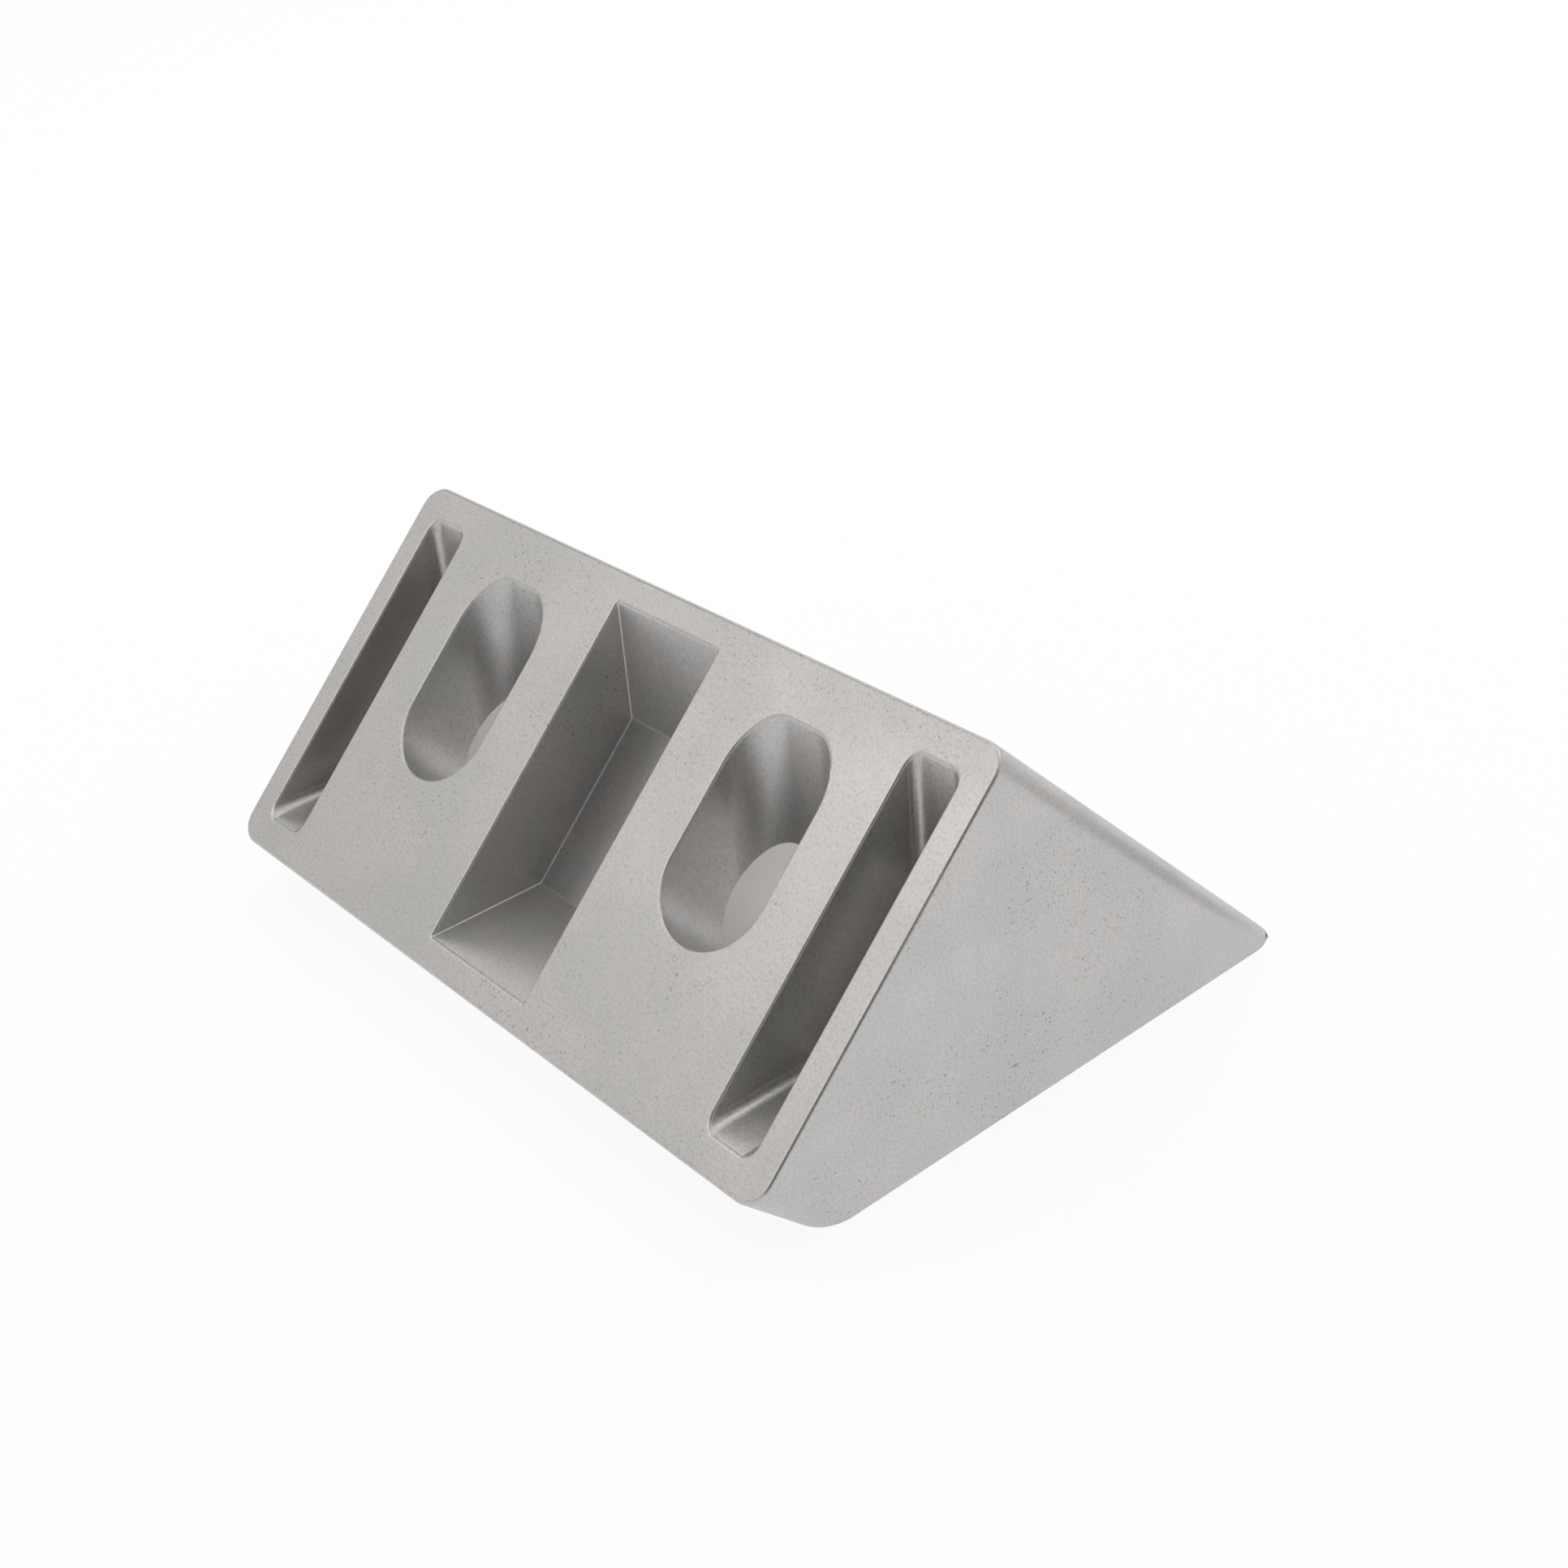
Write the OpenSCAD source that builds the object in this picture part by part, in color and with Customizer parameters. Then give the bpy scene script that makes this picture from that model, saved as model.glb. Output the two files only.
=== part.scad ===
// Angle connector, die-cast in one piece.
// A 45 degree wedge that joins the sawn end of a rectangular slotted profile to the side of
// another profile. It stands on its slanted base, with +Z up. The sloping front face (towards
// -Y) meets the profile's end, and the back face slopes down from the same ridge to a sharp tip.
// All lengths are in millimetres.

/* [Profile end] */
// Width of the profile end that the front face covers
profile_w = 90; // [80:1:110]
// Height of the profile end that the front face covers
profile_h = 45; // [42:0.5:52]
// Corner radius of the profile outline
corner_r = 2.75; // [1.5:0.25:4]
// Bevel round the outline of the front face
edge_break = 0.4; // [0.2:0.05:0.8]

/* [Wedge] */
// Angle between the front face and the base, in degrees
wedge_angle = 45; // [42:1:48]
// Thickness of the plate behind the front face, and of the thin end
plate_t = 10; // [9:0.5:12]
// Thickness of the base under the screw chambers
base_t = 4.5; // [3.5:0.25:6]

/* [Screw passages] */
// Distance between the two screw holes, as between the profile's core holes
screw_pitch = 45; // [42:0.5:48]
// Diameter of the screw holes in the front plate, and length of the slots in the base
hole_d = 13; // [11:0.5:14]
// Width of the slots in the base
slot_w = 9.3; // [8.4:0.1:10.5]
// Width of the chambers that hold the screw heads
chamber_w = 20.6; // [18:0.2:22]
// Room in a chamber below its screw hole
head_room = 6; // [4:0.5:7]
// Corner radius of the chambers
chamber_r = 2; // [1:0.25:3]
// Bar of the base between each slot and the window that opens the chamber downwards
base_bar = 3.2; // [2.5:0.1:4.5]

/* [Middle pocket] */
// Width of the middle pocket
middle_w = 16.2; // [12:0.2:18]
// Thickness of the upright web under the ridge, between the front and back middle pockets
middle_web = 4.4; // [3:0.1:6]
// Height of the middle pocket's sill above the base
middle_sill = 9.25; // [8:0.25:12]
// Radius in the corners of the middle pocket
middle_r = 0.7; // [0.4:0.1:1.5]

/* [Side pockets] */
// Width of a side pocket
side_w = 6.2; // [5:0.1:7]
// Wall between a side pocket and the end of the part
side_wall = 3.3; // [2.5:0.1:4.5]
// Thickness of the upright web under the ridge, between the front and back side pockets
side_web = 4.95; // [3:0.05:6]
// Height of a side pocket's sill above the base
side_sill = 9.5; // [8:0.25:12]
// Radius in the corners of a side pocket
side_r = 1.2; // [0.6:0.1:2]

/* [Pocket floors] */
// Depth of every pocket, square to its face
pocket_depth = 9.6; // [7:0.2:11]
// Radius along both sides of every pocket's floor
floor_r = 0.95; // [0.75:0.1:1.35]

/* [Hidden] */
$fn = 64;

over = 1;
slope_sin = sin(wedge_angle);
slope_cos = cos(wedge_angle);
thick_end = plate_t + profile_h * tan(wedge_angle);
ridge_z = profile_h * slope_sin + plate_t * slope_cos;
tip_y = thick_end * slope_sin;
front_y = edge_break * min(slope_sin, slope_cos) - profile_h * slope_cos;
ridge_y = -(front_y + tip_y) / 2;
reach = profile_w + profile_h + thick_end;

hole_v = profile_h / 2;
flank_inset = 0.03;
slot_y = plate_t * slope_sin - hole_v * slope_cos;
chamber_end = hole_v + hole_d / 2 + head_room;
window_end = (ridge_z - middle_sill) / slope_cos;
side_x = profile_w / 2 - side_wall - side_w / 2;

// Places its children on a face that slopes down from the ridge towards -Y at the given angle:
// X along the ridge, Y down the face and Z into the material.
module on_face(angle) {
    translate([0, 0, ridge_z]) rotate([180 + angle, 0, 0]) children();
}

// Rectangle from the origin along +Y, with its two corners at the origin rounded.
module round_ended(width, length, radius) {
    translate([-width / 2, radius]) square([width, length - radius]);
    translate([radius - width / 2, 0]) square([width - 2 * radius, length]);
    for (side = [-1, 1])
        translate([side * (width / 2 - radius), radius]) circle(radius);
}

// Rectangle from the origin along +Y, with all four corners rounded.
module rounded_rectangle(width, length, radius) {
    translate([-width / 2, radius]) square([width, length - 2 * radius]);
    translate([radius - width / 2, 0]) square([width - 2 * radius, length]);
    for (side = [-1, 1], end = [radius, length - radius])
        translate([side * (width / 2 - radius), end]) circle(radius);
}

// Slot with round ends along X, centred on the origin.
module slot_outline(length, width) {
    square([length - width, width], center = true);
    for (side = [-1, 1])
        translate([side * (length - width) / 2, 0]) circle(d = width);
}

// Trapezium that widens by the edge bevel as it rises, extruded along Y and centred on X.
module bevelled_bar(width, length) {
    half = width / 2;
    rotate([90, 0, 0])
        linear_extrude(length, center = true)
            polygon([
                [edge_break - half, 0], [half - edge_break, 0], [half, edge_break], [-half, edge_break]
            ]);
}

// The profile's outline run back from the front face, with the bevel round its front edge.
module profile_block() {
    translate([0, 0, edge_break])
        linear_extrude(thick_end)
            rounded_rectangle(profile_w, profile_h, corner_r);
    translate([0, profile_h / 2, 0]) {
        bevelled_bar(profile_w, profile_h - 2 * corner_r);
        rotate([0, 0, 90]) bevelled_bar(profile_h, profile_w - 2 * corner_r);
        for (sx = [-1, 1], sy = [-1, 1])
            translate([sx * (profile_w / 2 - corner_r), sy * (profile_h / 2 - corner_r), 0])
                cylinder(h = edge_break, r1 = corner_r - edge_break, r2 = corner_r);
    }
}

// The solid wedge, before any pocket or hole.
module wedge() {
    intersection() {
        on_face(wedge_angle) profile_block();
        translate([-reach / 2, -reach / 2, 0]) cube(reach);
    }
}

// A cast pocket in a sloping face. Its upper wall is the upright web under the ridge, its sill is
// level, its floor follows the face, and the edges where its sides meet these are rounded.
module pocket(angle, width, web, sill, radius) {
    intersection() {
        translate([0, -web / 2, 0])
            rotate([0, 0, 180])
                linear_extrude(reach)
                    round_ended(width, reach, radius);
        translate([0, 0, sill])
            rotate([90, 0, 0])
                linear_extrude(reach)
                    round_ended(width, reach, radius);
        on_face(angle)
            translate([0, reach, pocket_depth])
                rotate([90, 0, 0])
                    linear_extrude(2 * reach)
                        rotate(180) round_ended(width, pocket_depth + over, floor_r);
    }
}

// The three pockets of one sloping face.
module face_pockets(angle) {
    pocket(angle, middle_w, middle_web, middle_sill, middle_r);
    for (side = [-1, 1])
        translate([side * side_x, 0, 0])
            pocket(angle, side_w, side_web, side_sill, side_r);
}

// Room for the screw heads behind the front plate, open through a window in the back face. Behind
// the slot it is open through the base too, where the end screw goes in along its own axis.
module screw_chamber() {
    intersection() {
        on_face(wedge_angle)
            translate([0, chamber_end, plate_t])
                rotate([90, 0, 0])
                    linear_extrude(chamber_end + over)
                        rounded_rectangle(chamber_w, window_end - plate_t, chamber_r);
        union() {
            translate([-reach / 2, -reach / 2, base_t]) cube(reach);
            translate([-reach / 2, slot_y + slot_w / 2 + base_bar, -over]) cube(reach);
        }
    }
}

// Screw hole square to the front face, run out into the upright slot that crosses it at the back
// of the plate. The flat flanks of the run-out stand in a hair from the round walls at its ends.
// The slot goes on down through the base, so a key reaches the base screw from above.
module screw_passage() {
    slot_v = hole_v - (plate_t + over) * tan(wedge_angle);
    on_face(wedge_angle) {
        translate([0, hole_v, -over]) cylinder(h = plate_t + 2 * over, d = hole_d);
        rotate([90, 0, 90])
            linear_extrude(hole_d - 2 * flank_inset, center = true)
                polygon([[slot_v, -over], [hole_v, -over], [hole_v, plate_t]]);
    }
    translate([0, slot_y, -over])
        linear_extrude(ridge_z + 2 * over)
            slot_outline(hole_d, slot_w);
}

module connector_body() {
    color("silver")
        translate([0, ridge_y, 0])
            difference() {
                wedge();
                face_pockets(wedge_angle);
                mirror([0, 1, 0]) face_pockets(90 - wedge_angle);
                for (side = [-1, 1])
                    translate([side * screw_pitch / 2, 0, 0]) {
                        screw_chamber();
                        screw_passage();
                    }
            }
}

connector_body();
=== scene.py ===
import math

import bmesh
import bpy
from mathutils import Matrix, Vector


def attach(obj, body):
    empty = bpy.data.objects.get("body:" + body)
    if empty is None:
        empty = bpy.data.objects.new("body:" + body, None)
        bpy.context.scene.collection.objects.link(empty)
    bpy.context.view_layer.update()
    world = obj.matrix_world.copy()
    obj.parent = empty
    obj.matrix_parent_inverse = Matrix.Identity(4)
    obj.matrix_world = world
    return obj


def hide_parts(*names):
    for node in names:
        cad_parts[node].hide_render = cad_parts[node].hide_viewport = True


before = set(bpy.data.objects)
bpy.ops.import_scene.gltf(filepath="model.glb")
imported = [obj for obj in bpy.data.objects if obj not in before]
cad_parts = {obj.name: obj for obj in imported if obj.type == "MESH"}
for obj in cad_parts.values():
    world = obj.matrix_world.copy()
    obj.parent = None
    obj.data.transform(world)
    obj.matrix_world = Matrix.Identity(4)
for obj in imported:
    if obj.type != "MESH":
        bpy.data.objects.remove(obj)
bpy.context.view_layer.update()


# The block of the connector: a wedge of die-cast aluminium with the profile's 90 x 45 mm outline.
# Its front face meets the profile's sawn end, and it is cut off at 45 degrees along the base that
# it stands on. The mould leaves the long edges round and the front outline slightly broken.
mm = 0.001
hair = 0.01 * mm
profile_wide = 90 * mm
profile_high = 45 * mm
plate = 10 * mm
slope = math.radians(45)
thick_end = plate + profile_high
ridge = Vector((0, -3.677 * mm, (profile_high + plate) * math.sin(slope)))
front_out = Vector((0, -math.sin(slope), math.cos(slope)))
corner_round = 2.75 * mm
corner_steps = 8
front_break = 0.4 * mm
front_steps = 3
base_break = 0.25 * mm
base_steps = 4


def near(a, b):
    return abs(a - b) < hair


def choose(piece):
    """Makes a piece the only one selected."""
    bpy.ops.object.select_all(action="DESELECT")
    piece.select_set(True)
    bpy.context.view_layer.objects.active = piece


def lean_onto_front(piece):
    """Turns a piece drawn flat (X along the ridge, Y up the face, Z out of it) onto the front face."""
    piece.matrix_world = Matrix.Translation(ridge) @ Matrix.Rotation(slope, 4, "X")
    choose(piece)
    bpy.ops.object.transform_apply(location=True, rotation=True, scale=True)


def flat_box(name, low, high):
    """A box drawn flat between two corners, with its place in its mesh."""
    low = Vector(low)
    high = Vector(high)
    bpy.ops.object.select_all(action="DESELECT")
    bpy.ops.mesh.primitive_cube_add(size=1, location=(low + high) / 2, scale=high - low)
    piece = bpy.context.object
    piece.name = name
    bpy.ops.object.transform_apply(location=True, rotation=True, scale=True)
    return piece


def pick_edges(piece, wanted):
    """Opens the piece in edit mode with only the wanted edges selected."""
    bpy.context.view_layer.objects.active = piece
    bpy.ops.object.mode_set(mode="EDIT")
    bpy.ops.mesh.select_mode(type="EDGE")
    bpy.ops.mesh.select_all(action="DESELECT")
    mesh = bmesh.from_edit_mesh(piece.data)
    for edge in mesh.edges:
        if wanted(*[corner.co for corner in edge.verts]):
            edge.select_set(True)
    bmesh.update_edit_mesh(piece.data)


def round_edges(piece, wanted, radius, steps):
    pick_edges(piece, wanted)
    bpy.ops.mesh.bevel(offset=radius, segments=steps, affect="EDGES")
    bpy.ops.object.mode_set(mode="OBJECT")


def cut_away(piece, point, towards):
    """Saws off what lies beyond a plane, on the side that towards points to, and closes the cut."""
    bpy.context.view_layer.objects.active = piece
    bpy.ops.object.mode_set(mode="EDIT")
    bpy.ops.mesh.select_all(action="SELECT")
    bpy.ops.mesh.bisect(plane_co=point, plane_no=towards, use_fill=True, clear_outer=True)
    bpy.ops.object.mode_set(mode="OBJECT")


def lies_level(a, b):
    """True for an edge at height zero: of the front face before the block leans, of the base after."""
    return near(a.z, 0) and near(b.z, 0)


casting = flat_box(
    "connector_casting",
    (-profile_wide / 2, -profile_high, -thick_end),
    (profile_wide / 2, 0, 0),
)
round_edges(casting, lambda a, b: near(a.x, b.x) and near(a.y, b.y), corner_round, corner_steps)
round_edges(casting, lies_level, front_break, front_steps)
lean_onto_front(casting)
cut_away(casting, (0, 0, 0), (0, 0, -1))
round_edges(casting, lies_level, base_break, base_steps)


# The pockets: three hollows in the front face and three in the back face, which keep the casting's
# walls of even thickness. The upper wall of each is the upright web under the ridge, the sill is
# level, and the mould's draft edges leave a round between the side walls and the rest.
middle_pocket = {"wide": 16.2 * mm, "web": 4.4 * mm, "sill": 9.25 * mm, "rounded": 0.18 * mm}
side_pocket = {"wide": 6.2 * mm, "web": 4.95 * mm, "sill": 9.5 * mm, "rounded": 1.2 * mm}
side_pocket_x = 38.6 * mm
pocket_deep = 9.6 * mm
pocket_steps = 6
proud = 1 * mm


def pocket_core(name, x, wide, web, sill, rounded):
    """The mould's core for one pocket of the front face."""
    core = flat_box(
        name,
        (x - wide / 2, -2 * profile_high, -pocket_deep),
        (x + wide / 2, profile_high, proud),
    )
    lean_onto_front(core)
    cut_away(core, (0, ridge.y - web / 2, 0), (0, 1, 0))
    cut_away(core, (0, 0, sill), (0, 0, -1))
    mouth = ridge + front_out * proud

    def in_mouth(point):
        return near((point - mouth).dot(front_out), 0)

    def along_side_wall(a, b):
        return near(a.x, b.x) and not (in_mouth(a) and in_mouth(b))

    round_edges(core, along_side_wall, rounded, pocket_steps)
    return core


def join(pieces):
    bpy.ops.object.select_all(action="DESELECT")
    for piece in pieces:
        piece.select_set(True)
    bpy.context.view_layer.objects.active = pieces[0]
    bpy.ops.object.join()
    return pieces[0]


def copy_of(piece, name):
    choose(piece)
    bpy.ops.object.duplicate()
    bpy.context.object.name = name
    return bpy.context.object


def face_outwards():
    """Turns all faces of the piece in edit mode outwards, and leaves edit mode."""
    bpy.ops.mesh.select_all(action="SELECT")
    bpy.ops.mesh.normals_make_consistent(inside=False)
    bpy.ops.object.mode_set(mode="OBJECT")


def cast_out(core, piece=casting):
    """Takes the shape of a core out of the casting, or out of another piece, and the core away."""
    hollow = piece.modifiers.new(core.name, "BOOLEAN")
    hollow.object = core
    hollow.operation = "DIFFERENCE"
    hollow.solver = "EXACT"
    choose(piece)
    bpy.ops.object.modifier_apply(modifier=hollow.name)
    bpy.data.objects.remove(core)


front_cores = join([
    pocket_core("pocket_cores_front", 0, **middle_pocket),
    pocket_core("left_core", -side_pocket_x, **side_pocket),
    pocket_core("right_core", side_pocket_x, **side_pocket),
])
back_cores = copy_of(front_cores, "pocket_cores_back")
back_cores.matrix_world = Matrix.Translation((0, 2 * ridge.y, 0)) @ Matrix.Scale(-1, 4, (0, 1, 0))
bpy.ops.object.transform_apply(location=True, rotation=True, scale=True)
bpy.ops.object.mode_set(mode="EDIT")
face_outwards()
cast_out(front_cores)
cast_out(back_cores)


# The screw chambers: two rooms behind the front plate for the heads of the end screws, cast with
# round corners. Each is open through a window in the back face, and through the base behind the
# slot, where the end screw goes in along its own axis.
screw_x = 22.5 * mm
chamber_wide = 20.6 * mm
chamber_low = 35 * mm
window_end = 41.92 * mm
base_thick = 4.5 * mm
base_window_y = ridge.y - 0.989 * mm
chamber_round = 2 * mm
chamber_steps = 8


def cast_out_pair(core):
    """Takes a core of the right-hand half out of the casting, and a copy of it on the left."""
    left_core = copy_of(core, core.name + "_left")
    left_core.location.x = -2 * screw_x
    bpy.ops.object.transform_apply(location=True, rotation=True, scale=True)
    cast_out(core)
    cast_out(left_core)


chamber = flat_box(
    "chamber",
    (screw_x - chamber_wide / 2, -chamber_low, -window_end),
    (screw_x + chamber_wide / 2, proud, -plate),
)
round_edges(chamber, lambda a, b: near(a.x, b.x) and near(a.z, b.z), chamber_round, chamber_steps)
lean_onto_front(chamber)
base_bar = flat_box(
    "base_bar",
    (screw_x - chamber_wide, -profile_wide, -profile_wide),
    (screw_x + chamber_wide, base_window_y, base_thick),
)
cast_out(base_bar, chamber)
cast_out_pair(chamber)


# The screw passages: a 13 mm hole square to the front face for the end screw, run out upwards into
# a 13 x 9.3 mm upright slot, through which a key reaches the base screw. The slot goes on through
# the base below. All are left as the mould's cores made them.
hole_round = 6.5 * mm
slot_half_wide = 4.65 * mm
slot_straight = hole_round - slot_half_wide
hole_down = profile_high / 2
slot_y = ridge.y + (plate - hole_down) * math.sin(slope)
chamber_reach = 2 * mm
ring_points = 64


def pick_points(piece, wanted):
    """Opens the piece in edit mode with only the wanted points selected."""
    bpy.context.view_layer.objects.active = piece
    bpy.ops.object.mode_set(mode="EDIT")
    bpy.ops.mesh.select_mode(type="VERT")
    bpy.ops.mesh.select_all(action="DESELECT")
    mesh = bmesh.from_edit_mesh(piece.data)
    for point in mesh.verts:
        if wanted(point.co):
            point.select_set(True)
    mesh.select_flush(True)
    bmesh.update_edit_mesh(piece.data)


def move(x=0.0, y=0.0):
    bpy.ops.transform.translate(value=(x, y, 0.0))


def ring(name, radius, centre):
    """A filled disc with no point at its very top, so that it can be drawn out into a slot."""
    bpy.ops.object.select_all(action="DESELECT")
    bpy.ops.mesh.primitive_circle_add(
        vertices=ring_points,
        radius=radius,
        fill_type="NGON",
        location=centre,
        rotation=(0, 0, math.pi / ring_points),
    )
    disc = bpy.context.object
    disc.name = name
    bpy.ops.object.transform_apply(location=True, rotation=True, scale=True)
    return disc


def draw_out(disc, wanted):
    """Moves the wanted points on the right and on the left of a disc apart, as the slot is long."""
    pick_points(disc, lambda co: wanted(co) and co.x > screw_x)
    move(x=slot_straight)
    pick_points(disc, lambda co: wanted(co) and co.x < screw_x)
    move(x=-slot_straight)


def extrude_all(height):
    bpy.ops.mesh.select_all(action="SELECT")
    bpy.ops.mesh.extrude_region_move(TRANSFORM_OT_translate={"value": (0, 0, height)})


def in_upper_half(co):
    return co.y > -hole_down


passage = ring("passage_right", hole_round, (screw_x, -hole_down, -plate - chamber_reach))
pick_points(passage, in_upper_half)
bpy.ops.transform.resize(
    value=(slot_half_wide / hole_round, slot_half_wide / math.sin(slope) / hole_round, 1),
    center_override=(screw_x, -hole_down, 0),
)
draw_out(passage, in_upper_half)
extrude_all(chamber_reach)
bpy.ops.mesh.extrude_region_move(TRANSFORM_OT_translate={"value": (0, 0, plate + proud)})
pick_points(passage, lambda co: in_upper_half(co) and near(co.z, proud))
move(y=plate + proud)
face_outwards()
lean_onto_front(passage)

base_slot = ring("base_slot_right", slot_half_wide, (screw_x, slot_y, -proud))
draw_out(base_slot, lambda co: True)
extrude_all(base_thick + 2 * proud)
face_outwards()

cast_out_pair(passage)
cast_out_pair(base_slot)


# The finish of the edges: after casting, the part is tumbled, which takes the sharpness off every
# edge and leaves a fine round at each mouth that catches the light. The faces between the edges
# stay flat, and the base stays level.
mouth_round = 0.28 * mm
mouth_steps = 3
sharp_from = math.radians(35)
flat_weight = 50

edge_rounding = casting.modifiers.new("edge_rounding", "BEVEL")
edge_rounding.width = mouth_round
edge_rounding.segments = mouth_steps
edge_rounding.limit_method = "ANGLE"
edge_rounding.angle_limit = sharp_from
edge_rounding.use_clamp_overlap = False
edge_rounding.loop_slide = False
choose(casting)
bpy.ops.object.modifier_apply(modifier=edge_rounding.name)
pick_points(casting, lambda co: co.z < 0)
bpy.ops.transform.resize(value=(1, 1, 0), center_override=(0, 0, 0))
bpy.ops.object.mode_set(mode="OBJECT")
bpy.ops.object.shade_smooth()
flat_faces = casting.modifiers.new("flat_faces", "WEIGHTED_NORMAL")
flat_faces.mode = "FACE_AREA"
flat_faces.weight = flat_weight
bpy.ops.object.modifier_apply(modifier=flat_faces.name)

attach(casting, "root")
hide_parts("connector_body")


# The cast skin: satin aluminium as it comes from the mould. It is cloudy in warm and cool greys,
# has a fine sandy grain, dark specks that gather in patches, and a few short handling marks. In
# the chambers, where tumbling doesn't reach, the skin is duller and less metallic, and its colour is
# painted paler: painted light that brightens the chamber walls.
cool_grey = (0.542, 0.541, 0.535, 1)
warm_grey = (0.58, 0.565, 0.555, 1)
sand_grey = (0.42, 0.41, 0.40, 1)
speck_grey = (0.2, 0.19, 0.18, 1)
mark_grey = (0.07, 0.065, 0.06, 1)
# The chambers' pale grey is painted light, which brightens their walls.
chamber_painted_light_grey = (0.87, 0.86, 0.85, 1)
cloud_size = 9 * mm
cloud_detail = 5.0
cloud_edges = (0.38, 0.62)
patch_size = 14 * mm
patch_detail = 3.0
grain_size = 0.3 * mm
grain_detail = 2.0
grain_edges = (0.4, 0.75)
grain_height = 0.004 * mm
grain_bump = 0.5
sand_strength = 0.6
speck_spacing = 0.45 * mm
speck_radius = 0.16 * mm
speck_share = 0.7
speck_strength = 0.9
speck_patch_edges = (0.46, 0.64)
speck_thinnest = 0.22
ragged_size = 0.25 * mm
ragged_by = 0.5 * mm
mark_spacing = 7 * mm
mark_long = 0.75 * mm
mark_wide = 0.14 * mm
mark_share = 0.06
mark_turn = (0.7, 0.5, 0.9)
dot_core = 0.35
dot_depth_edges = (0.2, 1.1)
dot_faintest = 0.15
rough_patch_edges = (0.35, 0.65)
skin_roughness = (0.33, 0.41)
skin_metal = (0.85, 0.3)
chamber_roughness = 0.55
# How far the chambers' colour is drawn towards the pale grey of painted light.
chamber_painted_light_share = 0.85

back_out = Vector((0, math.sin(slope), math.cos(slope)))
# Marks the faces inside the screw chambers, whose colour gets painted light and whose skin is duller.
chamber_painted_light_and_dull = casting.data.attributes.new("chamber_painted_light_and_dull", "FLOAT", "FACE")
for face in casting.data.polygons:
    from_ridge = face.center - ridge
    behind_plate = from_ridge.dot(front_out) < -plate + hair
    between_walls = abs(abs(face.center.x) - screw_x) < chamber_wide / 2 + hair
    inside = from_ridge.dot(back_out) < -mouth_round and face.center.z > mouth_round
    chamber_painted_light_and_dull.data[face.index].value = float(behind_plate and between_walls and inside)

cast_aluminium = bpy.data.materials.new("cast_aluminium")
cast_aluminium.use_nodes = True
nodes = cast_aluminium.node_tree.nodes
links = cast_aluminium.node_tree.links
skin = nodes["Principled BSDF"]
spot = nodes.new("ShaderNodeTexCoord").outputs["Object"]


def noise(size, detail, where):
    """Soft noise whose lumps are about as large as size."""
    cloud = nodes.new("ShaderNodeTexNoise")
    cloud.inputs["Scale"].default_value = 1 / size
    cloud.inputs["Detail"].default_value = detail
    links.new(where, cloud.inputs["Vector"])
    return cloud.outputs["Fac"]


def ramp(value, start, end, low=0.0, high=1.0):
    """Maps start..end of a value smoothly onto low..high."""
    step = nodes.new("ShaderNodeMapRange")
    step.interpolation_type = "SMOOTHSTEP"
    step.inputs["From Min"].default_value = start
    step.inputs["From Max"].default_value = end
    step.inputs["To Min"].default_value = low
    step.inputs["To Max"].default_value = high
    links.new(value, step.inputs["Value"])
    return step.outputs["Result"]


def combine(operation, a, b):
    """Works out one value from another value and a second one or a plain number."""
    sum_node = nodes.new("ShaderNodeMath")
    sum_node.operation = operation
    links.new(a, sum_node.inputs[0])
    if isinstance(b, float):
        sum_node.inputs[1].default_value = b
    else:
        links.new(b, sum_node.inputs[1])
    return sum_node.outputs["Value"]


def tint(colour, other, amount):
    """Draws a colour towards another one by an amount that varies over the surface."""
    blend = nodes.new("ShaderNodeMix")
    blend.data_type = "RGBA"
    links.new(amount, blend.inputs["Factor"])
    links.new(colour, blend.inputs["A"])
    blend.inputs["B"].default_value = other
    return blend.outputs["Result"]


def dots(spacing, radius, where, share):
    """Round dots in a share of the cells of a scattered pattern."""
    cells = nodes.new("ShaderNodeTexVoronoi")
    cells.inputs["Scale"].default_value = 1 / spacing
    links.new(where, cells.inputs["Vector"])
    chosen = nodes.new("ShaderNodeSeparateColor")
    links.new(cells.outputs["Color"], chosen.inputs["Color"])
    within = ramp(cells.outputs["Distance"], radius / spacing, dot_core * radius / spacing)
    kept = combine("LESS_THAN", chosen.outputs["Red"], share)
    depth = ramp(chosen.outputs["Green"], *dot_depth_edges, dot_faintest, 1.0)
    return combine("MULTIPLY", combine("MULTIPLY", within, kept), depth)


def ruffled(where, size, amount):
    """A place shifted by fine noise, so that what is drawn on it has a ragged outline."""
    wander = nodes.new("ShaderNodeTexNoise")
    wander.inputs["Scale"].default_value = 1 / size
    links.new(where, wander.inputs["Vector"])
    shift = nodes.new("ShaderNodeVectorMath")
    shift.operation = "MULTIPLY_ADD"
    links.new(wander.outputs["Color"], shift.inputs[0])
    shift.inputs[1].default_value = (amount, amount, amount)
    links.new(where, shift.inputs[2])
    return shift.outputs["Vector"]


clouds = ramp(noise(cloud_size, cloud_detail, spot), *cloud_edges)
patches = noise(patch_size, patch_detail, spot)
grain = noise(grain_size, grain_detail, spot)
gathered = ramp(patches, *speck_patch_edges, speck_thinnest, 1.0)
ragged = ruffled(spot, ragged_size, ragged_by)
specks = combine("MULTIPLY", dots(speck_spacing, speck_radius, ragged, speck_share), gathered)

turned = nodes.new("ShaderNodeMapping")
turned.inputs["Rotation"].default_value = mark_turn
turned.inputs["Scale"].default_value = (1.0, mark_wide / mark_long, 1.0)
links.new(spot, turned.inputs["Vector"])
marks = dots(mark_spacing * mark_wide / mark_long, mark_wide, turned.outputs["Vector"], mark_share)

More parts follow.
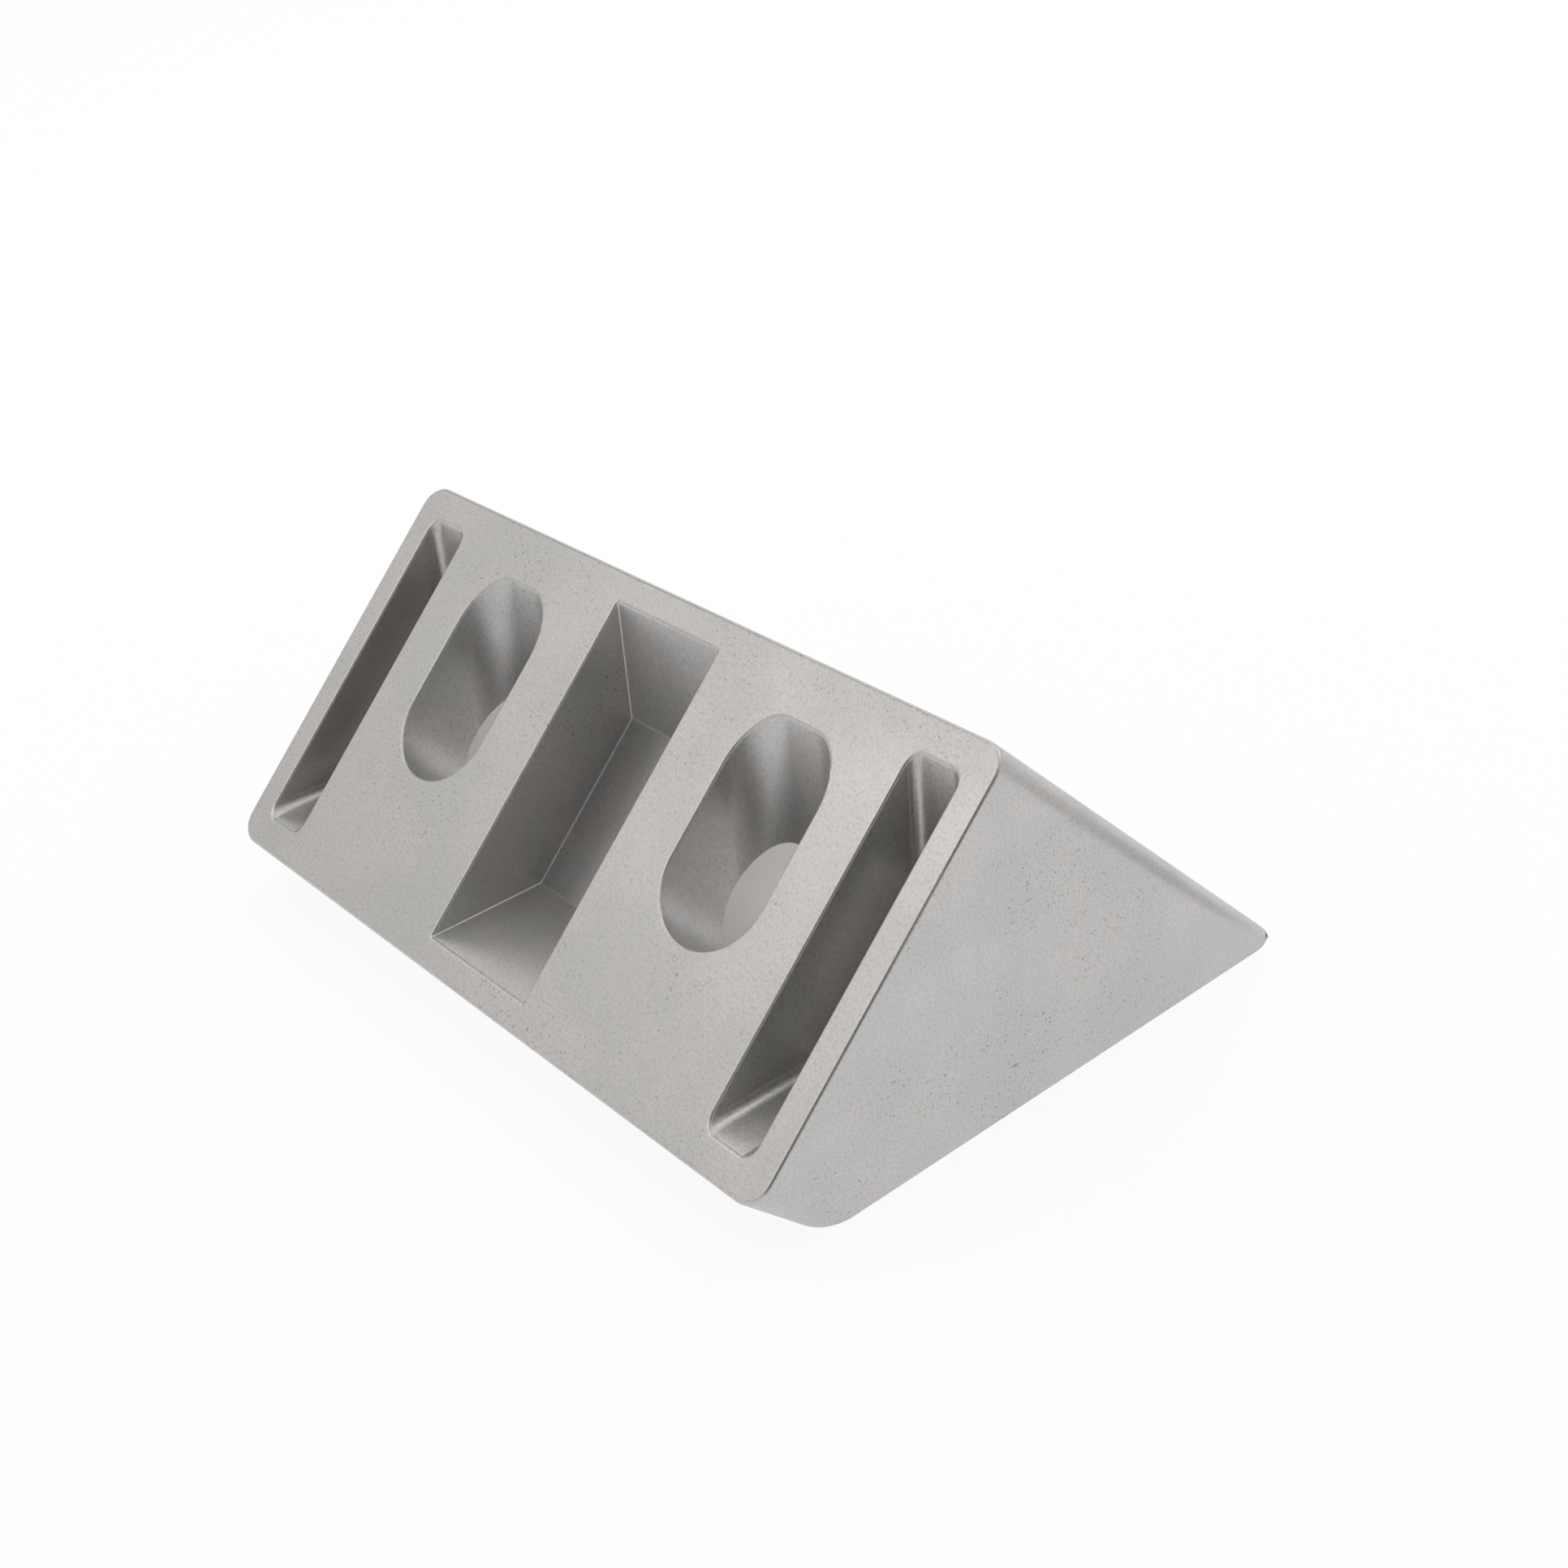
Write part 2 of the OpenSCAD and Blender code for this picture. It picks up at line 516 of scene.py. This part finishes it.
greys = nodes.new("ShaderNodeMix")
greys.data_type = "RGBA"
links.new(clouds, greys.inputs["Factor"])
greys.inputs["A"].default_value = cool_grey
greys.inputs["B"].default_value = warm_grey
sandy = tint(greys.outputs["Result"], sand_grey, ramp(grain, *grain_edges, 0.0, sand_strength))
speckled = tint(sandy, speck_grey, combine("MULTIPLY", specks, speck_strength))
marked = tint(speckled, mark_grey, marks)

chamber_light_and_dull_node = nodes.new("ShaderNodeAttribute")
chamber_light_and_dull_node.attribute_name = "chamber_painted_light_and_dull"
chamber_light_and_dull_mask = chamber_light_and_dull_node.outputs["Fac"]
# Painted light: the chamber walls are drawn towards a pale grey, which brightens them.
pale = tint(marked, chamber_painted_light_grey, combine("MULTIPLY", chamber_light_and_dull_mask, chamber_painted_light_share))
links.new(pale, skin.inputs["Base Color"])
links.new(ramp(chamber_light_and_dull_mask, 0.0, 1.0, *skin_metal), skin.inputs["Metallic"])
blasted = ramp(patches, *rough_patch_edges, *skin_roughness)
dull = combine("MULTIPLY", chamber_light_and_dull_mask, chamber_roughness)
links.new(combine("MAXIMUM", blasted, dull), skin.inputs["Roughness"])
sand = nodes.new("ShaderNodeBump")
sand.inputs["Strength"].default_value = grain_bump
sand.inputs["Distance"].default_value = grain_height
links.new(grain, sand.inputs["Height"])
links.new(sand.outputs["Normal"], skin.inputs["Normal"])
casting.data.materials.clear()
casting.data.materials.append(cast_aluminium)


# The stage: a matt white floor that keeps a soft shadow of the part, and an even pale studio round
# it, which gives most of the light. The floor shows plain white to the camera and in the metal.
floor_lift = 0.9
floor_size = 6.0
floor_paint = (0.95, 0.95, 0.95, 1)
sky_light = 0.72
sky_colour = (1.0, 0.99, 0.98, 1)

bpy.ops.object.select_all(action="DESELECT")
bpy.ops.mesh.primitive_plane_add(size=floor_size)
floor = bpy.context.object
floor.name = "white_floor"
floor_white = bpy.data.materials.new("floor_white")
floor_white.use_nodes = True
nodes = floor_white.node_tree.nodes
links = floor_white.node_tree.links
paint = nodes["Principled BSDF"]
paint.inputs["Base Color"].default_value = floor_paint
paint.inputs["Roughness"].default_value = 1.0
paint.inputs["Specular IOR Level"].default_value = 0.0


def seen_plainly(tree):
    """1 for what the camera sees, straight or in metal and glass, and 0 for all other light."""
    ray = tree.nodes.new("ShaderNodeLightPath")
    seen = ray.outputs["Is Camera Ray"]
    for kind in ("Is Glossy Ray", "Is Transmission Ray"):
        either = tree.nodes.new("ShaderNodeMath")
        either.operation = "ADD"
        either.use_clamp = True
        tree.links.new(seen, either.inputs[0])
        tree.links.new(ray.outputs[kind], either.inputs[1])
        seen = either.outputs["Value"]
    return seen


lift = nodes.new("ShaderNodeMath")
lift.operation = "MULTIPLY"
links.new(seen_plainly(floor_white.node_tree), lift.inputs[0])
lift.inputs[1].default_value = floor_lift
glow = nodes.new("ShaderNodeEmission")
glow.inputs["Strength"].default_value = 1.0
blend = nodes.new("ShaderNodeMixShader")
links.new(lift.outputs["Value"], blend.inputs["Fac"])
links.new(paint.outputs["BSDF"], blend.inputs[1])
links.new(glow.outputs["Emission"], blend.inputs[2])
links.new(blend.outputs["Shader"], nodes["Material Output"].inputs["Surface"])
floor.data.materials.append(floor_white)

studio = bpy.data.worlds.new("studio")
bpy.context.scene.world = studio
studio.use_nodes = True
sky = studio.node_tree.nodes["Background"]
sky.inputs["Color"].default_value = sky_colour
sky.inputs["Strength"].default_value = sky_light


# The lights: a wide soft box at the back, which reaches into the chambers through their windows, a
# small one that draws bright lines along the edges, and a warm one at the front left. Two dark
# flags and a grey sheet on the floor behind the tip are there for the metal to mirror.
part_middle = Vector((0, 0, 18 * mm))
lamp_white = (1.0, 1.0, 1.0)
lamp_warm = (1.0, 0.94, 0.88)
flag_grey = 0.05
sheet_grey = 0.62
sheet_place = (0.1133, 0.1816, 0.0005)
sheet_turn = math.radians(-25)
sheet_near_end = 0.03


def aimed(towards, distance):
    """A place in a direction from the part, with -Z turned back to it."""
    direction = Vector(towards).normalized()
    turn = direction.to_track_quat("Z", "Y").to_matrix().to_4x4()
    return Matrix.Translation(part_middle + direction * distance) @ turn


def soft_box(name, place, wide, high, radiance, colour):
    lamp = bpy.data.lights.new(name, "AREA")
    lamp.shape = "RECTANGLE"
    lamp.size = wide
    lamp.size_y = high
    lamp.energy = radiance * math.pi * wide * high
    lamp.color = colour
    holder = bpy.data.objects.new(name, lamp)
    bpy.context.scene.collection.objects.link(holder)
    holder.matrix_world = place


def card(name, size, grey, place, near_end=1.0):
    """A flat card that the metal mirrors, out of the camera's sight, narrower at its near end."""
    bpy.ops.object.select_all(action="DESELECT")
    bpy.ops.mesh.primitive_plane_add(size=1)
    sheet = bpy.context.object
    sheet.name = name
    pick_points(sheet, lambda co: co.y < 0)
    bpy.ops.transform.resize(value=(near_end, 1, 1), center_override=(0, 0, 0))
    bpy.ops.object.mode_set(mode="OBJECT")
    sheet.matrix_world = place @ Matrix.Diagonal((*size, 1, 1))
    bpy.ops.object.transform_apply(location=True, rotation=True, scale=True)
    paper = bpy.data.materials.new(name)
    paper.use_nodes = True
    surface = paper.node_tree.nodes["Principled BSDF"]
    surface.inputs["Base Color"].default_value = (grey, grey, grey, 1)
    surface.inputs["Roughness"].default_value = 1.0
    sheet.data.materials.append(paper)
    sheet.visible_camera = False
    sheet.visible_diffuse = False
    sheet.visible_shadow = False


soft_box(
    "back_light",
    aimed(towards=(-0.3, 0.6, 0.74), distance=0.7),
    wide=1.1,
    high=0.7,
    radiance=0.55,
    colour=lamp_white,
)
soft_box(
    "edge_light",
    aimed(towards=(0.25, 0.6, 0.76), distance=0.7),
    wide=0.16,
    high=0.18,
    radiance=3.2,
    colour=lamp_white,
)
soft_box(
    "front_light",
    aimed(towards=(-0.3, -0.5, 0.81), distance=0.8),
    wide=0.8,
    high=0.7,
    radiance=0.7,
    colour=lamp_warm,
)
card("dark_flag", (0.42, 0.42), flag_grey, aimed(towards=(0.675, -0.535, 0.508), distance=0.42))
card("top_flag", (0.2, 0.2), flag_grey, aimed(towards=(-0.66, 0.0, 0.75), distance=0.5))
behind_tip = Matrix.Translation(sheet_place) @ Matrix.Rotation(sheet_turn, 4, "Z")
card("grey_sheet", (0.29, 0.3), sheet_grey, behind_tip, sheet_near_end)


# The camera: at the photograph's viewing angle, about a quarter of a metre from the part, with a
# lens of about 50 mm on a 36 mm frame. Colours are shown as they are.
camera_place = (0.15784, -0.117808, 0.1313)
camera_turn = [math.radians(angle) for angle in (59.3944, 4.0945, 49.2085)]
camera_lens = 49.915
camera_frame = 36
camera_nearest = 0.01

bpy.ops.object.camera_add(location=camera_place, rotation=camera_turn)
camera = bpy.context.object
camera.data.lens = camera_lens
camera.data.sensor_width = camera_frame
camera.data.clip_start = camera_nearest
bpy.context.scene.camera = camera
bpy.context.scene.view_settings.view_transform = "Standard"
